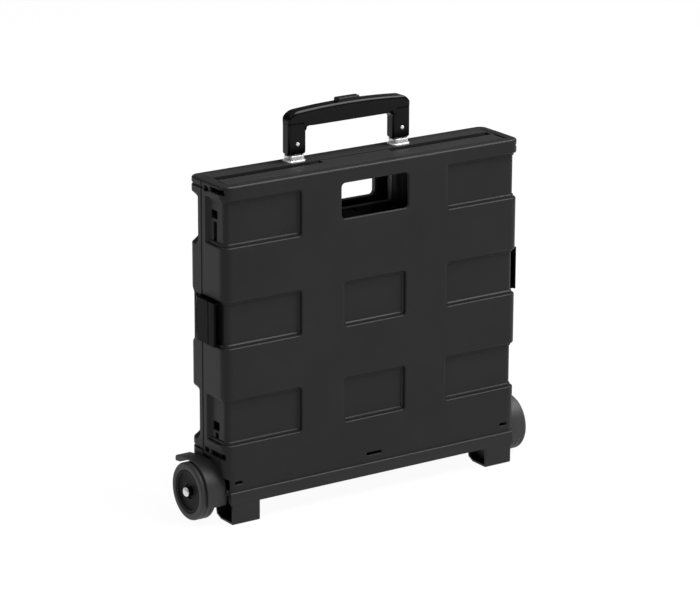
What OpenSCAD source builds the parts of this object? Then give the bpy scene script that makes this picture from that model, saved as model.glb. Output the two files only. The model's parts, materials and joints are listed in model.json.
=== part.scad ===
// Folding crate cart, shown folded flat: two moulded half shells joined by folding
// side walls, a floor panel folded up inside, a telescopic handle and two wheels.
// +Z is up, the front face looks toward -Y, the ground is z = 0, sizes are in mm.

/* [Shells] */
// Half of the overall shell width
shell_half = 205; // [190:1:220]
// Half of the folded thickness
fold_half = 38; // [34:0.5:44]
// Distance of the seam between the shells behind the middle plane
seam_y = 9.5; // [4:0.5:14]
// Height of the top rim above the ground
top_z = 400; // [380:1:420]
// Height of the underside of both shells
pan_z = 39; // [34:1:44]
// Wall thickness of the shells
wall = 3; // [2:0.25:4]
// Radius of the upright shell corners
corner_r = 11; // [8:0.5:14]
// Depth of the window recesses in the front shell
recess = 4.5; // [3:0.25:6]
// Depth of the window recesses in the rear shell
rear_recess = 7; // [4:0.5:8]

/* [Windows] */
// Distance from the middle to the inner edge of the outer windows
win_x = 101; // [90:1:110]
// Half width of the middle windows
mid_win = 43; // [38:0.5:46]
// Height of every window
win_h = 54; // [48:1:58]
// Lower edge of the bottom row of windows
row1_z = 95; // [90:1:100]
// Lower edge of the middle row of windows
row2_z = 211; // [205:1:216]
// Lower edge of the top row of windows
row3_z = 329; // [324:1:332]
// Half width of the hand openings
hand_half = 46; // [42:0.5:50]
// Lower edge of the hand openings
hand_z = 340; // [336:1:344]
// Height of the hand openings
hand_h = 42; // [36:1:46]

/* [Folding walls] */
// Thickness of one folding wall leaf
leaf_t = 10; // [8:0.5:12]
// Length of one leaf between its two hinge pins
leaf_len = 138; // [130:1:145]
// Distance of the corner hinge pins from the middle
hinge_x = 187; // [180:0.5:190]
// Plane where the folded leaves meet
leaf_y = -4.5; // [-8:0.5:-2]
// Lower edge of the leaves
leaf_z0 = 46; // [44:1:50]
// Upper edge of the leaves
leaf_z1 = 392; // [380:1:393]
// Radius of the steel hinge rods
rod_r = 1.5; // [1:0.1:2]

/* [Handle] */
// Distance of each tube from the middle
tube_x = 72.5; // [66:0.5:80]
// Position of the tubes from front to back
tube_y = 22.3; // [20:0.1:24]
// Length of each telescopic tube
tube_len = 338; // [320:1:345]
// Top of the hand grip
grip_z = 463; // [455:0.5:475]
// Lower end of the grip legs
leg_z = 408; // [406:0.5:414]

/* [Wheels] */
// Radius of the tyre tread
tyre_r = 34; // [32:0.5:38]
// Outer face of each wheel from the middle
wheel_x = 230; // [225:0.5:235]
// Width of the tyre
tyre_w = 19; // [16:0.5:22]
// Radius of the axle
axle_r = 4; // [3:0.25:5]
// Position of the axle from front to back
axle_y = 5.6; // [4:0.1:8]
// Inner radius of the wheel arches
arch_r = 35.5; // [35:0.25:38]

/* [Feet and latches] */
// Inner side of each foot from the middle
foot_x0 = 160; // [150:1:165]
// Outer side of each foot from the middle
foot_x1 = 197; // [185:1:198]
// Outer face of the side latches from the middle
latch_x = 211.3; // [208:0.1:214]
// Front end of the side latches
latch_y0 = -25.7; // [-28:0.1:-20]
// Hinge pin of the side latches, front to back
latch_pin_y = 12.5; // [11:0.1:14]

/* [Hidden] */
$fn = 48;
front_y = -fold_half;
rear_y = fold_half;
rail_y = front_y - 2.5;
leg_x = tube_x - 0.3;
rear_y0 = seam_y + 0.3;
axle_z = tyre_r;
pin_gap = 0.05;
rear_pin_y = leaf_y + leaf_t / 2;
front_pin_y = leaf_y - leaf_t / 2;
mid_x = hinge_x - leaf_len;
leaf_h = leaf_z1 - leaf_z0;
lug_z = [70, 214, 358];
lug_h = 12;
knuckle_r = 4;
knuckles = 6;
tube_z0 = top_z - tube_len;
black = [0.09, 0.09, 0.1];
dark = [0.14, 0.14, 0.15];
tyre_grey = [0.2, 0.2, 0.21];
steel = [0.75, 0.76, 0.78];
rows = [row1_z, row2_z, row3_z];

// Rounded rectangle drawn about the origin, with upright rounded edges
module rrect(w, d, r) {
  square([w - 2 * r, d], center = true);
  square([w, d - 2 * r], center = true);
  for (sx = [-1, 1], sy = [-1, 1])
    translate([sx * (w / 2 - r), sy * (d / 2 - r)]) circle(r = r);
}

module rblock(w, d, h, r) {
  linear_extrude(height = h) rrect(w, d, r);
}

// Plan of the front shell, drawn i mm inside its outer faces and open to the rear
module front_plan(i, y1) {
  translate([-(shell_half - corner_r), front_y + i])
    square([2 * (shell_half - corner_r), y1 - front_y - i]);
  translate([-(shell_half - i), front_y + corner_r])
    square([2 * (shell_half - i), y1 - front_y - corner_r]);
  for (s = [-1, 1])
    translate([s * (shell_half - corner_r), front_y + corner_r]) circle(r = corner_r - i);
}

// Plan of the rear shell, drawn i mm inside its outer faces and open to the front
module rear_plan(i, y0) {
  translate([-(shell_half - corner_r), y0])
    square([2 * (shell_half - corner_r), rear_y - i - y0]);
  translate([-(shell_half - i), y0])
    square([2 * (shell_half - i), rear_y - corner_r - y0]);
  for (s = [-1, 1])
    translate([s * (shell_half - corner_r), rear_y - corner_r]) circle(r = corner_r - i);
}

module front_ring(a, b, z, h) {
  translate([0, 0, z]) linear_extrude(height = h)
    difference() { front_plan(a, seam_y); front_plan(b, seam_y + 1); }
}

module rear_ring(a, b, z, h) {
  translate([0, 0, z]) linear_extrude(height = h)
    difference() { rear_plan(a, rear_y0); rear_plan(b, rear_y0 - 1); }
}

// Box given by its two opposite corners
module span(a, b) {
  translate(a) cube(b - a);
}

// Space taken by the outer windows, from the face back to y1
module front_win_space(z, g, y1) {
  for (s = [-1, 1]) mirror([s < 0 ? 1 : 0, 0, 0])
    span([win_x - g, front_y - 1, z - g], [shell_half + 1, y1 + g, z + win_h + g]);
}

module rear_win_space(z, g, y0) {
  for (s = [-1, 1]) mirror([s < 0 ? 1 : 0, 0, 0])
    span([win_x - g, y0 - g, z - g], [shell_half + 1, rear_y + 1, z + win_h + g]);
}

// Outline of the cut above the wheel arches, seen from the side
module arch_cut() {
  for (s = [-1, 1]) mirror([s < 0 ? 1 : 0, 0, 0])
    translate([198.6, 0, 0]) rotate([90, 0, 90]) linear_extrude(height = 10)
      polygon([[front_y - 1, 20], [front_y - 1, 51], [-31, 57.5], [-22, 65], [-8, 73],
        [seam_y + 1, 75.5], [seam_y + 1, 20]]);
}

module hinge_lugs(py, wall_y) {
  for (z = lug_z, s = [-1, 1]) {
    span([s * hinge_x - 5, min(py, wall_y), z], [s * hinge_x + 5, max(py, wall_y), z + lug_h]);
    translate([s * hinge_x, py, z]) cylinder(r = leaf_t / 2, h = lug_h);
  }
}

module front_shell() {
  color(black) difference() {
    union() {
      difference() {
        front_ring(0, wall, pan_z, top_z - pan_z);
        for (z = rows) front_win_space(z, 0, z == row2_z ? seam_y + 1 : -7);
        span([-mid_win, front_y - 1, row1_z], [mid_win, front_y + wall + 1, row1_z + win_h]);
        span([-mid_win, front_y - 1, row2_z], [mid_win, front_y + wall + 1, row2_z + win_h]);
      }
      // recessed window floors with their side walls
      for (z = rows) intersection() {
        union() {
          front_ring(recess, recess + wall, z - wall, win_h + 2 * wall);
          difference() {
            front_ring(wall - 0.5, recess + wall, z - wall, win_h + 2 * wall);
            front_win_space(z, 0, z == row2_z ? seam_y + 1 : -7);
          }
        }
        front_win_space(z, wall, z == row2_z ? seam_y + 1 : -7);
      }
      for (z = [row1_z, row2_z]) {
        span([-mid_win - wall, front_y + recess, z - wall],
          [mid_win + wall, front_y + recess + wall, z + win_h + wall]);
        difference() {
          span([-mid_win - wall, front_y + wall - 0.5, z - wall],
            [mid_win + wall, front_y + recess + 0.5, z + win_h + wall]);
          span([-mid_win, front_y, z], [mid_win, front_y + recess + 1, z + win_h]);
        }
      }
      // top flange, its deep edge bead and the middle tab
      translate([0, 0, top_z - 4]) linear_extrude(height = 3) front_plan(1, -1);
      span([-47, -2, top_z - 4], [47, seam_y - 0.2, top_z - 1]);
      // bottom flange and the ledge that carries the lowered floor
      translate([0, 0, pan_z]) linear_extrude(height = 3) front_plan(1, seam_y - 1);
      // collar around the hand opening
      span([-hand_half - 2.5, front_y + 1, hand_z - 2.5],
        [hand_half + 2.5, -20, hand_z + hand_h + 2.5]);
      // proud bottom rail
      span([-199, rail_y, 24], [199, front_y + 4, pan_z]);
      for (x = [-150, -75, 0, 75, 150]) span([x - 1.5, front_y + 3.5, 25], [x + 1.5, -4, pan_z + 1]);
      span([-199, front_y + 3.5, pan_z - 3], [199, -4, pan_z + 0.5]);
      hinge_lugs(front_pin_y, front_y + wall - 0.5);
    }
    // hand opening
    span([-hand_half, front_y - 1, hand_z], [hand_half, -19, hand_z + hand_h]);
    // groove behind the top edge bead
    span([-shell_half + 14, -26, top_z - 2.2], [shell_half - 14, -24.6, top_z + 1]);
    span([-shell_half + 4, -24.6, top_z - 1], [shell_half - 4, seam_y + 2, top_z + 1]);
    arch_cut();
    // clearance for the axle carriers in the bottom flange
    for (s = [-1, 1]) mirror([s < 0 ? 1 : 0, 0, 0]) span([146, -2, pan_z - 1], [201.6, seam_y + 1, pan_z + 4]);
    // drain slots above the rail
    span([-10.5, front_y - 1, 47.5], [10.5, front_y + wall + 1, 51]);
    for (s = [-1, 1]) span([s * 187 - 5, front_y - 1, 47.5], [s * 187 + 5, front_y + wall + 1, 51]);
    // slots under the rim and under the bottom windows, holes in the side windows
    for (s = [-1, 1]) mirror([s < 0 ? 1 : 0, 0, 0]) {
      span([193, front_y - 1, 388], [206, -7.5, 394]);
      span([200, -3, 387.5], [206, 4.3, 394]);
      span([193, front_y - 1, 79], [206, -7, 85.5]);
      span([200, -2.6, 77.5], [206, 6, 84]);
      span([190, -24, 360], [206, -9.5, 369]);
      span([190, -20.5, 332], [206, -11.5, 357]);
      span([190, -26.5, 108], [206, -8, 118.5]);
    }
    // bores for the corner hinge rods
    for (s = [-1, 1]) translate([s * hinge_x, front_pin_y, leaf_z0]) cylinder(r = rod_r + pin_gap, h = leaf_h);
  }
}

module rear_shell() {
  color(black) difference() {
    union() {
      difference() {
        rear_ring(0, wall, pan_z, top_z - 1 - pan_z);
        rear_win_space(row1_z, 0, 17);
        rear_win_space(row3_z, 0, 17);
        rear_win_space(row2_z, 0, 27);
        for (s = [-1, 1]) mirror([s < 0 ? 1 : 0, 0, 0])
          span([shell_half - recess, rear_y0 - 1, row2_z], [shell_half + 1, 25, row2_z + win_h]);
        span([-mid_win, rear_y - wall - 1, row1_z], [mid_win, rear_y + 1, row1_z + win_h]);
        span([-mid_win, rear_y - wall - 1, row2_z], [mid_win, rear_y + 1, row2_z + win_h]);
      }
      // recessed window floors
      for (z = rows) intersection() {
        union() {
          rear_ring(rear_recess - 3, rear_recess - 0.5, z - 2.5, win_h + 5);
          difference() {
            rear_ring(wall - 0.5, rear_recess - 0.5, z - 2.5, win_h + 5);
            rear_win_space(z, 0, z == row2_z ? 27 : 17);
          }
        }
        rear_win_space(z, 2.5, z == row2_z ? 27 : 17);
      }
      for (s = [-1, 1]) mirror([s < 0 ? 1 : 0, 0, 0]) {
        span([shell_half - recess - 2.5, rear_y0, row2_z - 2.5],
          [shell_half - recess, 27.5, row2_z + win_h + 2.5]);
        difference() {
          span([shell_half - recess - 2, rear_y0, row2_z - 2.5],
            [shell_half - wall + 0.5, 27.5, row2_z + win_h + 2.5]);
          span([shell_half - recess, rear_y0 - 1, row2_z],
            [shell_half, 25, row2_z + win_h]);
        }
      }
      for (z = [row1_z, row2_z])
        difference() {
          span([-mid_win - 2.5, rear_y - 6, z - 2.5], [mid_win + 2.5, rear_y - wall + 0.5, z + win_h + 2.5]);
          span([-mid_win, rear_y - 4, z], [mid_win, rear_y + 1, z + win_h]);
        }
      // top flange with the tube seats
      translate([0, 0, top_z - 4]) linear_extrude(height = 3) rear_plan(1, rear_y0);
      for (s = [-1, 1]) translate([s * tube_x, tube_y, top_z - 30]) rblock(26, 18.4, 27, 4);
      for (s = [-1, 1]) span([s * tube_x - 10, tube_y + 5, top_z - 30], [s * tube_x + 10, rear_y - 1, top_z - 2]);
      // bottom flange with the tube seats
      translate([0, 0, pan_z]) linear_extrude(height = 3) rear_plan(1, rear_y0);
      for (s = [-1, 1]) span([s * tube_x - 13, tube_y - 9, pan_z + 1], [s * tube_x + 13, rear_y - 1, tube_z0 + 12]);
      // hand opening collar
      span([-hand_half - 2.5, rear_y - 7, hand_z - 2.5], [hand_half + 2.5, rear_y - 1, hand_z + hand_h + 2.5]);
      // axle carriers
      for (x = [150, 172, 195], s = [-1, 1])
        translate([s * x - 3, 0, 0]) rotate([90, 0, 90]) linear_extrude(height = 6) {
          translate([axle_y, axle_z]) circle(r = 7);
          polygon([[axle_y, axle_z - 7], [14, 28], [32, 36], [32, pan_z + 1], [rear_y0 + 0.2, pan_z + 1],
            [rear_y0 + 0.2, pan_z - 0.6], [axle_y - 5, pan_z - 0.6]]);
        }
      // lugs of the folding walls, the floor hinge and the latches
      hinge_lugs(rear_pin_y, rear_y - wall + 0.5);
      for (x = [-150, -40, 40, 150]) {
        span([x - 5, 9.7, 42 - 1], [x + 5, 24, 49]);
        translate([x - 5, 9.7, 47.5]) rotate([0, 90, 0]) cylinder(r = 3.4, h = 10);
      }
      for (s = [-1, 1], z = [row2_z + 0.8, row2_z + win_h - 6.8]) {
        span([min(s * 200, s * (shell_half + 1.8)), latch_pin_y - 2.6, z],
          [max(s * 200, s * (shell_half + 1.8)), latch_pin_y + 2.6, z + 6]);
        translate([s * (shell_half + 1.8), latch_pin_y, z]) cylinder(r = 2.6, h = 6);
      }
      // stiffening ribs on the inside of the rear wall
      for (x = [-115, 115]) span([x - 1.25, rear_y - 8, pan_z + 1], [x + 1.25, rear_y - 2, top_z - 3]);
    }
    span([-hand_half, rear_y - 8, hand_z], [hand_half, rear_y + 1, hand_z + hand_h]);
    // groove under the top rim
    difference() {
      translate([0, 0, 391.2]) linear_extrude(height = 1.8) rear_plan(-1, rear_y0 - 1);
      translate([0, 0, 390]) linear_extrude(height = 4) rear_plan(1.6, rear_y0 - 2);
    }
    // tube holes
    for (s = [-1, 1]) translate([s * tube_x, tube_y, tube_z0]) rblock(21, 16, tube_len + 1, 3.2);
    for (s = [-1, 1]) translate([s * (shell_half + 1.8), latch_pin_y, row2_z]) cylinder(r = 1.5, h = win_h);
    for (s = [-1, 1]) translate([s * hinge_x, rear_pin_y, leaf_z0]) cylinder(r = rod_r, h = leaf_h);
    translate([-156, 9.7, 47.5]) rotate([0, 90, 0]) cylinder(r = rod_r, h = 312);
    translate([-199, axle_y, axle_z]) rotate([0, 90, 0]) cylinder(r = axle_r, h = 398);
  }
}

// One folding wall leaf, drawn from its corner pin toward +X with its outer face at y = 0
// and its ribbed face at y = leaf_t. parity picks the mid hinge knuckles it carries.
module leaf(parity) {
  kz = leaf_h / knuckles;
  difference() {
    union() {
      translate([0, leaf_t / 2, 0]) cylinder(r = leaf_t / 2, h = leaf_h);
      span([0, 0, 0], [leaf_len - 5, leaf_t, leaf_h]);
      for (i = [0 : knuckles - 1]) if (i % 2 == parity) {
        translate([leaf_len, 0, i * kz + 0.3]) cylinder(r = knuckle_r, h = kz - 0.6);
        span([leaf_len - 6, 0.25, i * kz + 0.3], [leaf_len, leaf_t / 2, i * kz + kz - 0.3]);
      }
    }
    // keep the meeting faces a hair apart
    difference() {
      span([-10, -1, -1], [leaf_len + 10, 0.25, leaf_h + 1]);
      for (i = [0 : knuckles - 1]) if (i % 2 == parity)
        translate([leaf_len, 0, i * kz + 0.3]) cylinder(r = knuckle_r, h = kz - 0.6);
    }
    // pockets on the ribbed face
    for (z = rows) span([18, 7, z - leaf_z0], [leaf_len - 20, leaf_t + 1, z - leaf_z0 + win_h]);
    for (z = [leaf_z0 + 5, row1_z + win_h + 4, row2_z + win_h + 4],
         x = [10, 52, 94])
      span([x, 3, z - leaf_z0], [x + 34, leaf_t + 1, z - leaf_z0 + (z < 60 ? 38 : 54)]);
    // windows on the outer face
    for (z = rows) span([15, -1, z - leaf_z0], [leaf_len - 17, 3.5, z - leaf_z0 + win_h]);
    // notches for the shell lugs
    for (z = lug_z) span([-8, -1, z - leaf_z0 - 0.5], [5.8, leaf_t + 1, z - leaf_z0 + lug_h + 0.5]);
    // bores
    translate([0, leaf_t / 2, -1]) cylinder(r = rod_r + pin_gap, h = leaf_h + 2);
    translate([leaf_len, 0, -1]) cylinder(r = rod_r + (parity == 0 ? 0 : pin_gap), h = leaf_h + 2);
  }
}

module left_rear_leaf() { color(black) translate([-hinge_x, leaf_y, leaf_z0]) leaf(0); }
module left_front_leaf() { color(black) translate([-hinge_x, leaf_y, leaf_z0]) mirror([0, 1, 0]) leaf(1); }
module right_rear_leaf() { color(black) mirror([1, 0, 0]) translate([-hinge_x, leaf_y, leaf_z0]) leaf(0); }
module right_front_leaf() {
  color(black) mirror([1, 0, 0]) translate([-hinge_x, leaf_y, leaf_z0]) mirror([0, 1, 0]) leaf(1);
}

module upright_rod(x, y) {
  color(steel) translate([x, y, leaf_z0 + 0.5]) cylinder(r = rod_r, h = leaf_h - 1);
}

module floor_panel() {
  color(black) difference() {
    union() {
      span([-179, 6.2, 52], [179, 13.2, 337.5]);
      for (x = [-95, 0, 95]) {
        span([x - 40 + (x == 0 ? 8 : 0), 6.4, 44.2], [x + 40 - (x == 0 ? 8 : 0), 13, 53]);
      }
    }
    for (x = [-179 : 59.66 : 130], z = [56 : 69 : 300])
      span([x + 3, 8.8, z], [x + 56.6, 14, z + 66]);
    for (x = [-95, 0, 95]) span([x - 41, 12.6, 43], [x + 41, 14, 51]);
    translate([0, 5, 333.4]) rotate([-90, 0, 0]) cylinder(r = 2.3, h = 10);
    translate([-180, 9.7, 47.5]) rotate([0, 90, 0]) cylinder(r = rod_r + pin_gap, h = 360);
  }
}

module floor_hinge_rod() {
  color(steel) translate([-155.5, 9.7, 47.5]) rotate([0, 90, 0]) cylinder(r = rod_r, h = 311);
}

// Telescopic tube: rounded oblong tube with wall t, standing on z0
module tube(s, w, d, t, r, z0, len) {
  translate([s * tube_x, tube_y, z0]) linear_extrude(height = len)
    difference() { rrect(w, d, r); rrect(w - 2 * t, d - 2 * t, r - t); }
}

module outer_tube(s) { color(steel) tube(s, 21, 16, 1.2, 3.2, tube_z0, tube_len); }

// Collar standing on the shell's top, seated on the end of the outer tube
module tube_collar(s) {
  color(steel) difference() {
    translate([s * tube_x, tube_y, top_z - 1]) rblock(23.4, 17.6, 4.5, 4);
    translate([s * tube_x, tube_y, top_z - 2]) rblock(18.6, 13.6, 8, 2.3);
    translate([s * tube_x, tube_y, top_z - 2]) rblock(21, 16, 2, 3.2);
  }
}

module tube_clamps() {
  color(dark) for (s = [-1, 1], z = [150, 270]) {
    translate([s * tube_x, tube_y, z]) linear_extrude(height = 14)
      difference() { rrect(25, 17.8, 4); rrect(21, 16, 3.2); }
    span([s * tube_x - 8, tube_y + 8.2, z], [s * tube_x + 8, rear_y - wall, z + 14]);
  }
}

module middle_tube(s) {
  color(steel) difference() {
    tube(s, 18, 13, 1.1, 2.3, tube_z0 + 2, tube_len);
    translate([s * (tube_x + 6), tube_y, tube_z0 + 40]) rotate([0, 90, 0]) cylinder(r = 2.2, h = 8, center = true);
  }
}

module middle_bush(s) {
  color(dark) translate([s * tube_x, tube_y, tube_z0 + 2 + tube_len]) linear_extrude(height = 3)
    difference() { rrect(18, 13, 2.3); rrect(15.8, 10.8, 1.2); }
}

module inner_tube(s) {
  color(steel) difference() {
    tube(s, 15.2, 10.2, 1.2, 2, tube_z0 + 6, 358);
    translate([s * (tube_x + 4), tube_y, tube_z0 + 14]) rotate([0, 90, 0])
      cylinder(r = 2.5 + pin_gap, h = 10, center = true);
  }
}

module lock_pin(s) {
  color(steel) translate([s * (tube_x + 5.1), tube_y, tube_z0 + 14]) rotate([0, 90, 0])
    cylinder(r = 2.5, h = 5, center = true);
}

module grip_leg(s) {
  color(black) difference() {
    union() {
      translate([s * leg_x, tube_y, leg_z]) rblock(24, 16, 33, 4);
      translate([s * leg_x, tube_y, leg_z + 33]) rblock(23, 15, 3, 3.6);
    }
    translate([s * tube_x, tube_y, leg_z - 1]) rblock(15.2, 10.2, 40, 2);
    for (e = [-1, 1]) translate([s * tube_x, tube_y + e * 7, 420.5]) rotate([90, 0, 0])
      cylinder(r = 2, h = 6, center = true);
  }
}

// Side view of the arched bar: outer outline above, inner outline below
module bar_profile(z0, z1) {
  intersection() {
    translate([0, grip_z - 900]) circle(r = 900, $fn = 220);
    union() {
      translate([-leg_x, z0]) square([2 * leg_x, z1 - z0 + 2]);
      for (s = [-1, 1]) translate([s * leg_x, grip_z - 14]) circle(r = 12);
    }
    translate([-90, z0]) square([180, 40]);
  }
}

module grip_upper() {
  color(black) difference() {
    translate([0, tube_y + 8.5, 0]) rotate([90, 0, 0]) linear_extrude(height = 17) bar_profile(453, grip_z);
    span([-76, tube_y - 5.6, 452], [76, tube_y + 5.6, 457]);
    translate([0, tube_y, 450]) rblock(33.4, 11.4, 20, 3);
  }
}

module grip_lower() {
  color(black) difference() {
    union() {
      span([-leg_x - 12, tube_y - 8.5, 444.2], [leg_x + 12, tube_y + 8.5, 452.8]);
      span([-58, tube_y - 8, 440], [58, tube_y + 8, 444.4]);
    }
    span([-79, tube_y - 5.6, 446.3], [79, tube_y + 5.6, 453]);
    translate([0, tube_y, 441.2]) cylinder(r = 4.8, h = 8);
    for (s = [-1, 1]) translate([s * tube_x, tube_y, 443]) rblock(12.8, 7.8, 5, 1);
  }
}

module grip_rivets() {
  color(steel) for (s = [-1, 1], e = [-1, 1])
    translate([s * tube_x, tube_y + e * 8, 420.5]) rotate([e * 90, 0, 0])
      { translate([0, 0, -0.7]) cylinder(r = 3, h = 0.7); cylinder(r = 2, h = 2.8); }
}

module push_button() {
  color(black) translate([0, tube_y, 454.4]) rblock(32.6, 10.6, 13.2, 2.8);
}

module push_yoke() {
  color(dark) {
    span([-75, tube_y - 4, 451], [75, tube_y + 4, 454.4]);
    for (s = [-1, 1]) translate([s * tube_x, tube_y, tube_z0 + 24]) cylinder(r = 2, h = 452 - tube_z0 - 24);
  }
}

module button_spring() {
  color(steel) translate([0, tube_y, 441.3]) rotate_extrude()
    for (i = [0 : 9]) translate([3.6, 0.52 + i * 0.96]) circle(r = 0.5, $fn = 24);
}

module axle() {
  color(steel) translate([-232, axle_y, axle_z]) rotate([0, 90, 0]) cylinder(r = axle_r, h = 464);
}

module axle_cap(s) {
  color(steel) translate([s * 225.2, axle_y, axle_z]) rotate([0, s * 90, 0]) difference() {
    union() { cylinder(r = 6, h = 7.5); translate([0, 0, 7.5]) cylinder(r = 4.6, h = 0.9); }
    translate([0, 0, -1]) cylinder(r = axle_r, h = 7.8);
  }
}

// Wheel parts are turned about X, with the outer face at wheel_x
module hub(s) {
  color(dark) translate([s * wheel_x, axle_y, axle_z]) rotate([0, -s * 90, 0]) rotate_extrude() {
    polygon([[axle_r + 0.06, 5.2], [9, 5.2], [9, 3.6], [20, 3.2], [22, 1.6], [25.5, 1.6], [25.5, 16.5],
      [22.5, 16.5], [22.5, 6.2], [9.5, 7.4], [9.5, 20.8], [axle_r + 0.06, 20.8]]);
  }
}

module tyre(s) {
  color(tyre_grey) translate([s * wheel_x, axle_y, axle_z]) rotate([0, -s * 90, 0]) rotate_extrude() {
    polygon([[25.5, 0.6], [28, 0], [31.5, 0], [33.2, 1], [tyre_r, 2.6], [tyre_r, tyre_w - 2.6],
      [33.2, tyre_w - 1], [31.5, tyre_w], [25.5, tyre_w]]);
  }
}

module arch_side(s) {
  // web plate behind the wheel and the curved cover over it
  difference() {
    union() {
      translate([s * 205.3, axle_y, axle_z]) rotate([0, s * 90, 0]) cylinder(r = arch_r + 1, h = 2.2);
      difference() {
        translate([s * 205.3, axle_y, axle_z]) rotate([0, s * 90, 0]) cylinder(r = arch_r + 2.5, h = 19);
        translate([s * 200, axle_y, axle_z]) rotate([0, s * 90, 0]) cylinder(r = arch_r, h = 30);
      }
      // inner strip of the cover in front of the rear shell
      difference() {
        translate([s * 199.6, axle_y, axle_z]) rotate([0, s * 90, 0]) cylinder(r = arch_r + 2.5, h = 6);
        translate([s * 190, axle_y, axle_z]) rotate([0, s * 90, 0]) cylinder(r = arch_r, h = 30);
        span([s < 0 ? -225 : 190, rear_y0 - 0.2, -10], [s < 0 ? -190 : 225, 60, 90]);
      }
      translate([s < 0 ? -224.3 : 205.3, 0, 0]) rotate([90, 0, 90]) linear_extrude(height = 19)
        polygon([[12, 70.2], [12, 71.4], [38, 68.2], [40.5, 66], [40.5, 60.8], [31, 61.8], [24, 66]]);
    }
    span([s < 0 ? -240 : 190, -60, -10], [s < 0 ? -190 : 240, axle_y - 20, 22]);
    span([s < 0 ? -240 : 190, axle_y - 21, -10], [s < 0 ? -190 : 240, 60, 24]);
    span([s < 0 ? -240 : 190, 34, -10], [s < 0 ? -190 : 240, 60, 58]);
    translate([s * 190, axle_y, axle_z]) rotate([0, s * 90, 0]) cylinder(r = axle_r, h = 40);
    for (p = [[20, 50], [28, 44]]) translate([s * 200, p[0], p[1]]) rotate([0, s * 90, 0]) cylinder(r = 1.8, h = 12);
  }
}

module arch_screws() {
  color(steel) for (s = [-1, 1], p = [[20, 50], [28, 44]])
    translate([s * 205.3, p[0], p[1]]) rotate([0, s * 90, 0]) {
      cylinder(r = 1.8, h = 2.2);
      translate([0, 0, 2.2]) cylinder(r = 3, h = 1);
    }
}

module latch_side(s) {
  mirror([s < 0 ? 1 : 0, 0, 0]) difference() {
    union() {
      span([200.9, latch_y0, row2_z + 1.2], [latch_x, latch_pin_y, row2_z + win_h - 1.2]);
      translate([206.8, latch_pin_y, row2_z + 1.2]) cylinder(r = 4.5, h = win_h - 2.4);
    }
    span([200, latch_y0 + 3, row2_z + 4], [latch_x - 2.6, latch_pin_y - 6, row2_z + win_h - 4]);
    span([199, latch_pin_y - 5.2, row2_z], [209.6, latch_pin_y + 8, row2_z + 7.6]);
    span([199, latch_pin_y - 5.2, row2_z + win_h - 7.6], [209.6, latch_pin_y + 8, row2_z + win_h]);
    span([latch_x - 0.8, -14.2, row2_z + 8], [latch_x + 1, -12.2, row2_z + win_h - 12]);
    translate([206.8, latch_pin_y, row2_z]) cylinder(r = rod_r + pin_gap, h = win_h);
  }
}

module latch_pin(s) {
  color(steel) translate([s * 206.8, latch_pin_y, row2_z + 1]) cylinder(r = rod_r, h = win_h - 2);
}

module foot_pads() {
  color(black) for (s = [-1, 1]) mirror([s < 0 ? 1 : 0, 0, 0])
    translate([foot_x0, 0, 0]) rotate([90, 0, 90]) linear_extrude(height = foot_x1 - foot_x0)
      polygon([[rail_y, 0], [-14, 0], [-5, 4], [-3.2, 12], [-3.2, 30], [-4.2, pan_z - 3],
        [front_y + 4, pan_z - 3], [front_y + 4, 24], [rail_y, 24]]);
}

rear_shell();
front_shell();
left_rear_leaf();
left_front_leaf();
right_rear_leaf();
right_front_leaf();
floor_panel();
floor_hinge_rod();
upright_rod(-hinge_x, rear_pin_y);  // rear_rod_left
upright_rod(hinge_x, rear_pin_y);  // rear_rod_right
upright_rod(-mid_x, leaf_y);  // mid_rod_left
upright_rod(mid_x, leaf_y);  // mid_rod_right
upright_rod(-hinge_x, front_pin_y);  // front_rod_left
upright_rod(hinge_x, front_pin_y);  // front_rod_right
outer_tube(-1);  // outer_tube_left
outer_tube(1);  // outer_tube_right
tube_collar(-1);  // tube_collar_left
tube_collar(1);  // tube_collar_right
tube_clamps();
middle_tube(-1);  // middle_tube_left
middle_tube(1);  // middle_tube_right
middle_bush(-1);  // middle_bush_left
middle_bush(1);  // middle_bush_right
inner_tube(-1);  // inner_tube_left
inner_tube(1);  // inner_tube_right
lock_pin(-1);  // lock_pin_left
lock_pin(1);  // lock_pin_right
grip_leg(-1);  // grip_leg_left
grip_leg(1);  // grip_leg_right
grip_upper();
grip_lower();
grip_rivets();
push_button();
push_yoke();
button_spring();
axle();
axle_cap(-1);  // axle_cap_left
axle_cap(1);  // axle_cap_right
hub(-1);  // hub_left
hub(1);  // hub_right
tyre(-1);  // tyre_left
tyre(1);  // tyre_right
color(black) arch_side(-1);  // wheel_arch_left
color(black) arch_side(1);  // wheel_arch_right
arch_screws();
color(dark) latch_side(-1);  // latch_left
color(dark) latch_side(1);  // latch_right
latch_pin(-1);  // latch_pin_left
latch_pin(1);  // latch_pin_right
foot_pads();
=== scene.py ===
"""Looks of the folding crate cart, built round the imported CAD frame.

Sizes are in millimetres and turned into metres when a piece is finished.
The front face looks toward -Y, the ground is z = 0, and the cart is shown folded.
"""

import json
import math

import bmesh
import bpy
import numpy as np
from mathutils import Matrix, Vector


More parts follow.
